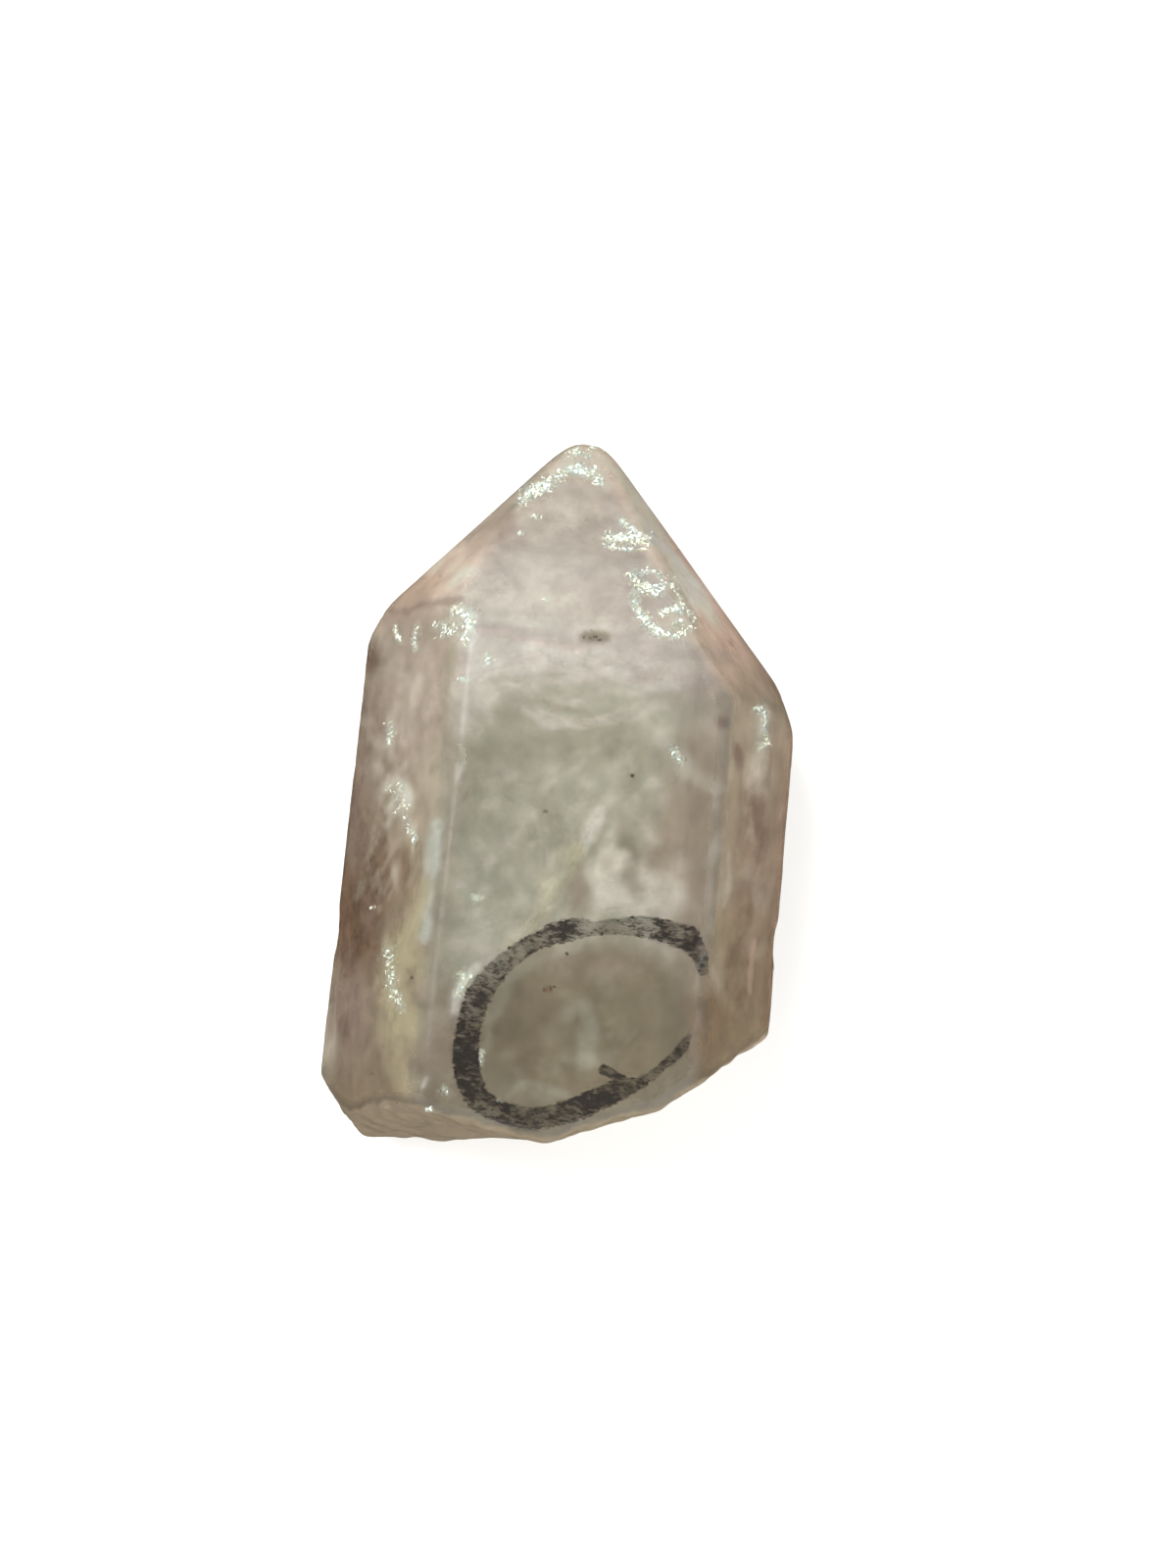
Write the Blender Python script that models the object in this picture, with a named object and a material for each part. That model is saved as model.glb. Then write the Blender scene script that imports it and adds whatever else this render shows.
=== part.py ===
# A quartz point that lies on one of its six prism faces, with its tip towards +Y.
#
# The crystal is one solid. Its flat faces are planes that are cut one after another from a block.
# Then its edges are worn and its tip is blunted, the two lower side faces get growth steps,
# the base is broken off, and chips are taken out of it.
# The long axis runs along Y. A face's turn is its angle round that axis, from straight up towards +X.

import math
import random

import bmesh
import bpy
from mathutils import Matrix, Vector, noise
from mathutils.bvhtree import BVHTree

MM = 0.001

# Main sizes
THICKNESS = 16.5 * MM
BLOCK_SIDE = 60.0 * MM
CUT_TOLERANCE = 1e-8

# Prism faces: turn, rise and distance from the axis.
# A face's rise is how far its normal leans towards the tip. Turns and rises are in degrees.
PRISM_FACES = {
    "front": (0, 0, THICKNESS / 2),
    "right_front": (60, 0.3, 11.3 * MM),
    "right_back": (120, 0.4, 10.0 * MM),
    "back": (180, 0, THICKNESS / 2),
    "left_back": (240, 0.9, 12.2 * MM),
    "left_front": (300, 0.9, 10.5 * MM),
}

# Tip faces: turn, rise, and the place along the axis where the face would meet it
TIP_FACES = {
    "front": (0, 34.8, 26.0 * MM),
    "right_front": (68, 38.6, 24.8 * MM),
    "right_back": (114, 38.4, 25.4 * MM),
    "back": (180, 38.2, 25.9 * MM),
    "left_back": (244, 39.4, 27.75 * MM),
    "left_front": (294, 40.2, 27.75 * MM),
}

# Worn places, as planes: direction of the plane's normal, and a point on the plane
TIP_WEAR = [
    (Vector((-0.04, 1.0, 0.10)), Vector((-1.2, 25.2, 0.0)) * MM),
    (Vector((0.52, 0.85, 0.05)), Vector((-0.1, 25.0, 0.0)) * MM),
    (Vector((-0.45, 0.85, 0.30)), Vector((-2.3, 24.9, 0.0)) * MM),
    (Vector((0.10, 0.72, -0.70)), Vector((-1.0, 24.6, -1.4)) * MM),
    (Vector((0.25, 0.80, 0.55)), Vector((0.2, 24.1, 1.2)) * MM),
]
SHOULDER_WEAR = [
    (Vector((-0.93, 0.36, 0.05)), Vector((-12.7, 13.8, 0.0)) * MM),
    (Vector((0.92, 0.38, 0.10)), Vector((12.05, 10.4, 0.0)) * MM),
    (Vector((-0.60, 0.45, 0.66)), Vector((-7.6, 14.6, 7.6)) * MM),
    (Vector((0.52, 0.40, 0.75)), Vector((8.2, 12.9, 7.7)) * MM),
]

# Edge wear: the least angle between two faces, and how deep a first and a second pass shave
FIRST_WEAR = (math.radians(18), 0.17 * MM)
SECOND_WEAR = (math.radians(17), 0.035 * MM)
WEAR_SPREAD = 0.35

# Broken base: facets of the break as the place along Y where each meets the axis,
# its slope across, and its slope through the thickness. The one furthest along Y counts.
BASE_FACETS = [
    (-14.4 * MM, 0.10, 0.03),
    (-14.6 * MM, 0.345, 0.05),
    (-16.4 * MM, 0.75, -0.05),
    (-27.9 * MM, -1.19, 0.05),
    (-16.3 * MM, -0.163, 0.23),
    (-15.9 * MM, 0.10, -0.25),
]
BASE_SHEET_HALF = 16.0 * MM
BASE_SHEET_CELLS = 40
BASE_SHEET_FAR = 36.0 * MM
SCALLOP_SIZE = 5.0 * MM
SCALLOP_HEIGHT = 0.8 * MM
RIPPLE_SIZE = 1.7 * MM
RIPPLE_HEIGHT = 0.18 * MM

# Chips, each scooped out by a lumpy ball that dips into the surface:
# where it lies across and along the crystal and through it, the turn and rise of the way that it faces,
# its half width, half length and depth, all in millimetres, and its twist
CHIPS = {
    "under_tip_left": ((-3.75, 22.1, 2.6), (325, 38), (1.2, 0.9, 0.35), 30),
    "under_tip": ((-1.4, 23.3, 1.8), (0, 36), (1.45, 0.55, 0.30), -4),
    "bar_on_tip": ((1.6, 20.0, 4.1), (4, 35), (1.5, 0.75, 0.30), -3),
    "shell_on_tip_high": ((2.8, 17.3, 6.0), (4, 35), (1.25, 0.9, 0.28), -35),
    "shell_on_tip_low": ((4.35, 15.8, 6.9), (10, 34), (1.8, 1.0, 0.32), -48),
    "left_shoulder": ((-7.5, 14.0, 7.9), (330, 14), (0.95, 1.1, 0.35), 0),
    "left_ledge": ((-10.4, 13.3, 3.6), (300, 14), (1.1, 0.6, 0.22), 8),
    "right_shoulder": ((10.1, 9.9, 4.2), (60, 8), (0.5, 1.35, 0.24), 4),
    "left_edge_high": ((-7.3, 6.4, 8.1), (330, 0), (0.5, 1.0, 0.16), 0),
    "left_edge_low": ((-7.2, -11.2, 8.1), (330, 0), (0.6, 1.1, 0.20), 0),
    "right_edge_low": ((8.2, -4.6, 8.1), (30, 0), (0.55, 1.5, 0.18), 0),
    "left_side": ((-12.8, -4.0, -1.5), (270, 0), (0.7, 1.6, 0.20), 0),
    "right_side": ((12.1, -2.4, 1.3), (90, 0), (0.7, 1.5, 0.20), 0),
    "back_left_edge": ((-9.1, 7.6, -8.2), (210, 0), (0.8, 1.9, 0.30), 0),
    "back_right_edge": ((6.7, -6.6, -8.2), (150, 0), (0.7, 1.6, 0.28), 0),
    "back_of_tip": ((0.9, 19.0, -5.4), (175, 38), (1.5, 1.9, 0.40), 20),
    "back_shoulder": ((-7.8, 14.4, -7.0), (222, 24), (1.2, 0.9, 0.35), 15),
}
CHIP_DETAIL = 2
CHIP_ROUGHNESS = 0.30
CHIP_LUMPS = 1.7
SCOOP_HEIGHT = 2.4
SCAR_SHARE = math.sqrt(1 - (1 - 1 / SCOOP_HEIGHT) ** 2)
LINE_START = 30.0 * MM

# Growth steps on the two lower side faces. From a step to the tip the face lies lower: most at the edge
# that it shares with the back, and not at all at its upper edge. Each is the name of the face, where the step
# crosses its middle line, its depth there, and the lower part's tilt and the step's slant in degrees.
# The block that lowers a face is wider than the face and reaches past the tip.
GROWTH_STEPS = {
    "left_back_low_step": ("left_back", -7.0 * MM, 0.10 * MM, -1.1, 12),
    "left_back_high_step": ("left_back", 4.5 * MM, 0.20 * MM, -2.2, -7),
    "right_back_low_step": ("right_back", -3.5 * MM, 0.11 * MM, 0.9, -10),
    "right_back_high_step": ("right_back", 7.5 * MM, 0.21 * MM, 1.7, 6),
}
STEP_BLOCK = Vector((22.0, 40.0, 1.5)) * MM

# Look
QUARTZ_COLOUR = (0.36, 0.32, 0.26, 1.0)
QUARTZ_ROUGHNESS = 0.18
QUARTZ_IOR = 1.544
QUARTZ_CLEARNESS = 0.6


def clear_scene():
    for scene_object in list(bpy.data.objects):
        bpy.data.objects.remove(scene_object, do_unlink=True)


def shave(solid, normal, point):
    """Cut away what lies beyond a plane and close the cut."""
    pieces = solid.verts[:] + solid.edges[:] + solid.faces[:]
    cut = bmesh.ops.bisect_plane(
        solid, geom=pieces, dist=CUT_TOLERANCE, plane_co=point, plane_no=normal, clear_outer=True)
    rim = [item for item in cut["geom_cut"] if isinstance(item, bmesh.types.BMEdge)]
    if rim:
        bmesh.ops.edgeloop_fill(solid, edges=rim)


def face_normal(turn, rise):
    """The way that a face looks, from its turn round the axis and its rise."""
    turn = math.radians(turn)
    rise = math.radians(rise)
    return Vector((math.cos(rise) * math.sin(turn), math.sin(rise), math.cos(rise) * math.cos(turn)))


def cut_crystal_faces(solid):
    for turn, rise, distance in PRISM_FACES.values():
        shave(solid, face_normal(turn, rise), face_normal(turn, 0) * distance)
    for turn, rise, reach in TIP_FACES.values():
        shave(solid, face_normal(turn, rise), Vector((0, reach, 0)))


def wear_edges(solid, least_angle, depth, dice):
    """Shave a thin plane off every edge that is sharper than least_angle."""
    solid.normal_update()
    planes = []
    for edge in solid.edges:
        if edge.calc_face_angle(0) < least_angle:
            continue
        normal = (edge.link_faces[0].normal + edge.link_faces[1].normal).normalized()
        middle = (edge.verts[0].co + edge.verts[1].co) / 2
        planes.append((normal, middle - normal * depth * dice.uniform(1 - WEAR_SPREAD, 1 + WEAR_SPREAD)))
    for normal, point in planes:
        shave(solid, normal, point)


def make_point():
    """The whole crystal before its base is broken and its surface is chipped."""
    dice = random.Random(7)
    solid = bmesh.new()
    bmesh.ops.create_cube(solid, size=BLOCK_SIDE)
    cut_crystal_faces(solid)
    for direction, point in TIP_WEAR + SHOULDER_WEAR:
        shave(solid, direction.normalized(), point)
    wear_edges(solid, *FIRST_WEAR, dice)
    wear_edges(solid, *SECOND_WEAR, dice)
    bmesh.ops.recalc_face_normals(solid, faces=solid.faces[:])
    return solid


def broken_base_place(across, through):
    """Where along Y the broken base lies, at a place across and through the crystal."""
    place = max(reach + slope_across * across + slope_through * through
                for reach, slope_across, slope_through in BASE_FACETS)
    spot = Vector((across, through, 3.1 * MM))
    scallop = noise.voronoi(spot / SCALLOP_SIZE)[0][0]
    ripple = noise.fractal(spot / RIPPLE_SIZE, 0.9, 2.0, 3)
    return place - SCALLOP_HEIGHT * scallop ** 2 + RIPPLE_HEIGHT * ripple


def make_base_cutter():
    """A block whose upper side is the broken surface of the base."""
    sheet = bmesh.new()
    bmesh.ops.create_grid(
        sheet, x_segments=BASE_SHEET_CELLS, y_segments=BASE_SHEET_CELLS, size=BASE_SHEET_HALF)
    for corner in sheet.verts:
        across, through = corner.co.x, corner.co.y
        corner.co = Vector((across, broken_base_place(across, through), through))
    swept = bmesh.ops.extrude_face_region(sheet, geom=sheet.faces[:], use_keep_orig=True)
    for item in swept["geom"]:
        if isinstance(item, bmesh.types.BMVert):
            item.co.y = -BASE_SHEET_FAR
    bmesh.ops.recalc_face_normals(sheet, faces=sheet.faces[:])
    return sheet


def make_chip_cutter(surface, place, facing, scar, twist):
    """A lumpy ball that dips into the surface where a line through a place meets it."""
    outward = face_normal(*facing)
    place = Vector(place) * MM
    meeting = surface.ray_cast(place + outward * LINE_START, -outward)[0]
    half_width, half_length, depth = (size * MM for size in scar)
    half_height = depth * SCOOP_HEIGHT

    ball = bmesh.new()
    bmesh.ops.create_icosphere(ball, subdivisions=CHIP_DETAIL, radius=1.0)
    for corner in ball.verts:
        corner.co *= 1 + CHIP_ROUGHNESS * noise.noise(corner.co * CHIP_LUMPS + place / MM)
    size = Matrix.Diagonal((half_width / SCAR_SHARE, half_length / SCAR_SHARE, half_height, 1))
    twisted = Matrix.Rotation(math.radians(twist), 4, "Z")
    across = Vector((0, 1, 0)).cross(outward).normalized()
    turned = Matrix((across, outward.cross(across), outward)).transposed().to_4x4()
    middle = meeting + outward * (half_height - depth)
    ball.transform(Matrix.Translation(middle) @ turned @ twisted @ size)
    return ball


def make_step_cutter(face, start, depth, tilt, slant):
    """A flat block that lowers a prism face from a step to the tip."""
    turn, rise, distance = PRISM_FACES[face]
    block = bmesh.new()
    bmesh.ops.create_cube(block, size=1.0)
    middle = Vector((0, STEP_BLOCK.y / 2, STEP_BLOCK.z / 2))
    block.transform(Matrix.Translation(middle) @ Matrix.Diagonal((*STEP_BLOCK, 1)))
    leaning = Matrix.Rotation(math.radians(tilt), 4, "Y") @ Matrix.Rotation(math.radians(slant), 4, "Z")
    turned = Matrix.Rotation(math.radians(turn), 4, "Y") @ Matrix.Rotation(math.radians(-rise), 4, "X")
    block.transform(turned @ Matrix.Translation((0, start, distance - depth)) @ leaning)
    return block


def add_object(name, solid, collection):
    mesh = bpy.data.meshes.new(name)
    solid.to_mesh(mesh)
    solid.free()
    part = bpy.data.objects.new(name, mesh)
    collection.objects.link(part)
    return part


def subtract(part, name, solid, collection):
    """Take a solid out of a part, and keep it as a hidden cutter."""
    cutter = add_object(name, solid, collection)
    cutter.hide_render = True
    cutter.display_type = "WIRE"
    cut = part.modifiers.new("cut_" + name, "BOOLEAN")
    cut.operation = "DIFFERENCE"
    cut.solver = "EXACT"
    cut.object = cutter


def measured_bounds(part):
    """Lowest and highest corners of an object with its modifiers."""
    evaluated = part.evaluated_get(bpy.context.evaluated_depsgraph_get())
    corners = [vertex.co for vertex in evaluated.to_mesh().vertices]
    low = Vector([min(corner[axis] for corner in corners) for axis in range(3)])
    high = Vector([max(corner[axis] for corner in corners) for axis in range(3)])
    evaluated.to_mesh_clear()
    return low, high


def make_quartz_material():
    material = bpy.data.materials.new("clear_quartz")
    material.use_nodes = True
    shader = material.node_tree.nodes["Principled BSDF"]
    shader.inputs["Base Color"].default_value = QUARTZ_COLOUR
    shader.inputs["Roughness"].default_value = QUARTZ_ROUGHNESS
    shader.inputs["Metallic"].default_value = 0.0
    shader.inputs["IOR"].default_value = QUARTZ_IOR
    shader.inputs["Transmission Weight"].default_value = QUARTZ_CLEARNESS
    return material


def main():
    clear_scene()
    parts = bpy.data.collections.new("enhydro_quartz")
    cutters = bpy.data.collections.new("cutters")
    bpy.context.scene.collection.children.link(parts)
    bpy.context.scene.collection.children.link(cutters)

    point = make_point()
    surface = BVHTree.FromBMesh(point)
    crystal = add_object("quartz_crystal", point, parts)
    crystal.data.materials.append(make_quartz_material())
    for name, step in GROWTH_STEPS.items():
        subtract(crystal, name, make_step_cutter(*step), cutters)
    for name, chip in CHIPS.items():
        subtract(crystal, name, make_chip_cutter(surface, *chip), cutters)
    subtract(crystal, "base_break", make_base_cutter(), cutters)

    # The origin is the middle of the box, at the height of the face that the crystal rests on
    low, high = measured_bounds(crystal)
    to_rest = Matrix.Translation((-(low.x + high.x) / 2, -(low.y + high.y) / 2, -low.z))
    for part in (crystal, *cutters.objects):
        part.data.transform(to_rest)


main()
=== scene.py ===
# The looks of a quartz point that lies on one prism face, seen from straight above.
# A see-through skin carries the colours, the worn edges and the pen ring.
# Veils, a healed crack, fracture flakes and dark specks lie inside it.

import math
import random

import bmesh
import bpy
import numpy as np
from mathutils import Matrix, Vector, noise
from mathutils.bvhtree import BVHTree


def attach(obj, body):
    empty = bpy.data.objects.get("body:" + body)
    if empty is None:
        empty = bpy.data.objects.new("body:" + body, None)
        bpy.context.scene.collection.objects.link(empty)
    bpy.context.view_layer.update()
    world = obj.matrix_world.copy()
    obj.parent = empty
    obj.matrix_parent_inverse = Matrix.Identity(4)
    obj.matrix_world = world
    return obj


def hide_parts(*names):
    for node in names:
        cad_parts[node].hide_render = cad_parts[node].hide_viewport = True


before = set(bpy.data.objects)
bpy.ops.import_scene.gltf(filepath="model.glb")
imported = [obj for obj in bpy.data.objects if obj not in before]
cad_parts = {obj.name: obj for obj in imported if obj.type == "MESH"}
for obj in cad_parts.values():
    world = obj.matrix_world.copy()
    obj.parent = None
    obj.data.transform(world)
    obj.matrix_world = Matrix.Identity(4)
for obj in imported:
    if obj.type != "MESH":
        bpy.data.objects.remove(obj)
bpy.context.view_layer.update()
mm = 0.001
stage = bpy.context.scene.collection
noise.seed_set(7)       # without it, noise_vector differs from run to run


# Shared helpers

def linear(*screen):
    # a screen colour, 0 to 255, as the light values that shaders use
    share = np.array(screen) / 255
    return np.where(share <= 0.04045, share / 12.92, ((share + 0.055) / 1.055) ** 2.4)


def smooth(low, high, value):
    share = np.clip((value - low) / (high - low), 0, 1)
    return share * share * (3 - 2 * share)


def noiseAt(places, size, seed, detail=3):
    # one soft random value for each place, about -1 to 1
    shift = Vector((seed * 7.3, seed * 3.1, seed * 5.7))
    return np.array([noise.fractal(Vector(place) / size + shift, 0.8, 2.1, detail) for place in places])


def corners(mesh):
    flat = np.empty(len(mesh.vertices) * 3)
    mesh.vertices.foreach_get("co", flat)
    return flat.reshape(-1, 3)


def cornerNormals(mesh):
    flat = np.empty(len(mesh.vertices) * 3, np.float32)
    mesh.vertex_normals.foreach_get("vector", flat)
    return flat.reshape(-1, 3).astype(float)


def addObject(name, mesh):
    made = bpy.data.objects.new(name, mesh)
    stage.objects.link(made)
    return made


def paintColour(mesh, name, colours):
    layer = mesh.color_attributes.new(name, "FLOAT_COLOR", "POINT")
    layer.data.foreach_set("color", np.column_stack([colours, np.ones(len(colours))]).ravel())


def finishPiece(piece, material):
    piece.data.materials.clear()
    piece.data.materials.append(material)
    piece.data.shade_smooth()
    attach(piece, "root")


# The photograph's frame is 1200 by 1600 pixels, and its camera looks straight down on the crystal

photoView = {
    "pixel": 0.05625 * mm,      # size of a pixel on the crystal
    "knownPixel": (579.5, 900),  # this pixel shows the place below
    "knownPlace": (0.474 * mm, -4.595 * mm),
    "lean": math.radians(5.3),  # how far the tip leans to the right
    "middle": (600, 800),
    "frameHeight": 1600,
    "cameraHeight": 0.42,
    "sharpHeight": 9.0 * mm,    # the height at which the pixel size holds
    "sensor": 36.0,
}


def fromPhoto(pixelX, pixelY):
    # the place, across and along the crystal, that a pixel shows
    right = (pixelX - photoView["knownPixel"][0]) * photoView["pixel"]
    down = (pixelY - photoView["knownPixel"][1]) * photoView["pixel"]
    lean = photoView["lean"]
    across = right * math.cos(lean) + down * math.sin(lean)
    along = right * math.sin(lean) - down * math.cos(lean)
    return across + photoView["knownPlace"][0], along + photoView["knownPlace"][1]


def toPhoto(places):
    # the pixel that shows each place
    centre = np.array(fromPhoto(*photoView["middle"]))
    height = photoView["cameraHeight"]
    nearer = (height - photoView["sharpHeight"]) / (height - places[:, 2])
    flat = centre + (places[:, :2] - centre) * nearer[:, None] - np.array(photoView["knownPlace"])
    lean = photoView["lean"]
    right = flat[:, 0] * math.cos(lean) + flat[:, 1] * math.sin(lean)
    down = flat[:, 0] * math.sin(lean) - flat[:, 1] * math.cos(lean)
    pixels = np.column_stack([right, down]) / photoView["pixel"]
    return pixels + np.array(photoView["knownPixel"])


def makeCamera():
    across, along = fromPhoto(*photoView["middle"])
    data = bpy.data.cameras.new("camera")
    distance = photoView["cameraHeight"] - photoView["sharpHeight"]
    data.sensor_width = photoView["sensor"]
    data.lens = photoView["sensor"] * distance / (photoView["frameHeight"] * photoView["pixel"])
    data.clip_start = 0.01
    data.clip_end = 10
    camera = bpy.data.objects.new("camera", data)
    stage.objects.link(camera)
    camera.location = (across, along, photoView["cameraHeight"])
    camera.rotation_euler = (0, 0, photoView["lean"])
    bpy.context.scene.camera = camera
    return camera


camera = makeCamera()


# Soft patches and bent strokes, in the photograph's pixels, which place colours, bruises and ink

def patchMask(pixels, ragged, place, half, turn, softness, raggedness):
    # 1 inside a soft ellipse with a ragged edge, 0 outside
    moved = pixels + ragged * raggedness - np.array(place)
    turn = math.radians(turn)
    across = (moved[:, 0] * math.cos(turn) + moved[:, 1] * math.sin(turn)) / half[0]
    along = (moved[:, 1] * math.cos(turn) - moved[:, 0] * math.sin(turn)) / half[1]
    return 1 - smooth(1 - softness, 1 + softness, np.hypot(across, along))


def followRoute(pixels, route):
    # for each pixel, its distance from a bent route and the values that the route carries there
    route = np.array(route, float)
    nearest = np.full(len(pixels), 1e9)
    carried = np.zeros((len(pixels), route.shape[1] - 2))
    for start, end in zip(route[:-1], route[1:]):
        run = end[:2] - start[:2]
        share = np.clip(((pixels - start[:2]) @ run) / (run @ run), 0, 1)
        distance = np.hypot(*(pixels - start[:2] - share[:, None] * run).T)
        closer = distance < nearest
        nearest[closer] = distance[closer]
        carried[closer] = (start[2:] + share[:, None] * (end[2:] - start[2:]))[closer]
    return nearest, carried


# The crystal's skin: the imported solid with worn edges, small nicks and a rough break

skinShape = {
    "grain": 0.20 * mm,         # size of a mesh cell
    "wearPasses": 15,           # rounding of the worn edges
    "swell": 0.08 * mm,         # gives back what the rounding takes off
    "waves": (0.020 * mm, 4.0 * mm),        # height and size of low hills on the faces
    "growthSteps": (0.012 * mm, 0.9 * mm),  # height and spacing of lines across the prism
    "breakHills": (0.35 * mm, 3.2 * mm),    # height and size of the broken base's rise and fall
    "breakRipples": (0.05 * mm, 1.3 * mm),  # height and spacing of the shell-like rings on it
    "breakCentres": ((-7.5, 13.0), (5.0, 1.0), (12.0, 12.0)),   # across and up, in millimetres
    "nicks": (0.07 * mm, 1.5 * mm),         # depth and size of nicks along the edges
    "wornBend": (4, 15),        # degrees between neighbours where an edge starts to count as worn, and fully
    "floorGap": 0.02 * mm,
}


def edgeWear(mesh, normals, limits):
    # 1 where the surface bends sharply between neighbours, as on a worn edge
    ends = np.empty(len(mesh.edges) * 2, int)
    mesh.edges.foreach_get("vertices", ends)
    ends = ends.reshape(-1, 2)
    bend = np.arccos(np.clip((normals[ends[:, 0]] * normals[ends[:, 1]]).sum(1), -1, 1))
    most = np.zeros(len(normals))
    np.maximum.at(most, ends[:, 0], bend)
    np.maximum.at(most, ends[:, 1], bend)
    wear = smooth(math.radians(limits[0]), math.radians(limits[1]), most)
    count = np.bincount(ends.ravel(), minlength=len(wear))
    for _ in range(3):      # evens out what the mesh's own cells add
        total = np.bincount(ends[:, 0], wear[ends[:, 1]], len(wear))
        total += np.bincount(ends[:, 1], wear[ends[:, 0]], len(wear))
        wear = total / np.maximum(count, 1)
    return smooth(0.12, 0.6, wear)


def brokenShare(normals):
    # 1 on the broken base, 0 on the crystal's own faces
    return smooth(0.25, 0.6, -normals[:, 1])


def carveSkin(mesh):
    places = corners(mesh)
    normals = cornerNormals(mesh)
    broken = brokenShare(normals)
    worn = edgeWear(mesh, normals, skinShape["wornBend"])

    height, size = skinShape["waves"]
    rise = skinShape["swell"] + height * noiseAt(places, size, 21, 2)
    height, size = skinShape["growthSteps"]
    steps = noiseAt(places * np.array([0.06, 1.0, 0.06]), size, 22, 2)
    rise += height * steps * (1 - broken) * (1 - smooth(0.2, 0.4, normals[:, 1]))
    height, size = skinShape["breakHills"]
    rise -= height * np.abs(noiseAt(places, size, 23, 2)) * broken
    height, size = skinShape["breakRipples"]
    rings = [np.hypot(places[:, 0] - x * mm, places[:, 2] - z * mm) for x, z in skinShape["breakCentres"]]
    nearest = np.min(rings, axis=0) + 0.5 * mm * noiseAt(places, 4.0 * mm, 24, 1)
    rise += height * np.sin(nearest * math.tau / size) * smooth(9 * mm, 2 * mm, nearest) * broken
    depth, size = skinShape["nicks"]
    rise -= depth * smooth(0.05, 0.6, noiseAt(places, size, 25, 2)) * worn * (1 - broken)

    places += normals * rise[:, None]
    places[:, 2] = np.maximum(places[:, 2], skinShape["floorGap"])
    mesh.vertices.foreach_set("co", places.ravel())
    mesh.update()


def makeSkin():
    solid = bmesh.new()
    solid.from_mesh(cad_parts["quartz_crystal"].data)
    bmesh.ops.remove_doubles(solid, verts=solid.verts[:], dist=0.001 * mm)
    mesh = bpy.data.meshes.new("crystal_coarse")
    solid.to_mesh(mesh)
    solid.free()
    skin = addObject("crystal_skin", mesh)
    grid = skin.modifiers.new("even_grid", "REMESH")
    grid.mode = "VOXEL"
    grid.voxel_size = skinShape["grain"]
    rounding = skin.modifiers.new("wear", "SMOOTH")
    rounding.factor = 0.5
    rounding.iterations = skinShape["wearPasses"]
    evaluated = skin.evaluated_get(bpy.context.evaluated_depsgraph_get())
    fine = bpy.data.meshes.new_from_object(evaluated)
    skin.modifiers.clear()
    skin.data = fine
    carveSkin(fine)
    return skin


skin = makeSkin()
print("skin:", len(skin.data.vertices), "corners")


# Colours of the crystal, as soft patches and streaks laid one over another

stoneLook = {
    "tintPower": 1.3,           # a see-through skin needs a stronger tint than the colour that is seen
    "brightness": (1.46, 1.64, 1.88),
    "mottle": (0.16, 1.2 * mm),  # strength and size of fine mottling
    "ragged": (2.6 * mm, 1.0 * mm),     # sizes of the ragged bends in what is painted
    "fleckSize": 1.5,
    "fleckSeed": 3,
    "sideShade": (-0.12, -0.05, 0.04),  # how much darker steep faces are, for each channel
    "baseShade": (-0.5, -0.45, -0.35),  # and the broken base
    "lowerShade": 0.5,          # how dark brown the faces are that look down
    "undersideColour": (0.92, 0.92, 0.92),
    # painted shade: the rim is a thin dark line where the faces stand upright, along the outline
    "rim": ("plum", 0.2),       # colour and strength of the thin dark line along the widest edges
    "edgeShade": 0.22,          # how much darker worn edges are
    "wornBend": (4, 16),        # as in skinShape, for what is painted
    "frost": (0.85, 0.45),      # how dull worn edges and the broken base are
}

# the upward part of a face's normal where each look starts, and where it is full
facing = {
    "upper": (-0.25, 0.05),     # what is painted from the photograph
    "inked": (0.5, 0.8),
    "rim": (0.03, 0.2),
    "level": (0.3, 0.95),
    "lower": (0.05, 0.4),       # the downward part, and in the next line
    "underside": (0.75, 0.95),
}

screenColours = {
    "tipMist": (214, 204, 189),
    "tipHaze": (203, 193, 180),
    "milk": (222, 216, 203),
    "paleMilk": (198, 191, 176),
    "greyGreen": (149, 144, 125),
    "paleGreen": (160, 157, 139),
    "brownGrey": (146, 131, 113),
    "darkBrown": (118, 94, 76),
    "deepBrown": (122, 98, 80),
    "paleRose": (238, 216, 202),
    "pinkMist": (249, 216, 203),
    "olive": (127, 116, 96),
    "deepOlive": (104, 91, 74),
    "rose": (205, 180, 165),
    "deepRose": (150, 112, 98),
    "cream": (182, 174, 146),
    "mauve": (172, 158, 148),
    "dusk": (138, 120, 110),
    "lowBrown": (142, 127, 106),
    "softPurple": (158, 141, 130),
    "blueMilk": (190, 192, 182),
    "plum": (96, 70, 66),
    "umber": (104, 78, 60),
}
stoneColours = {name: linear(*screen) for name, screen in screenColours.items()}

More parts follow.
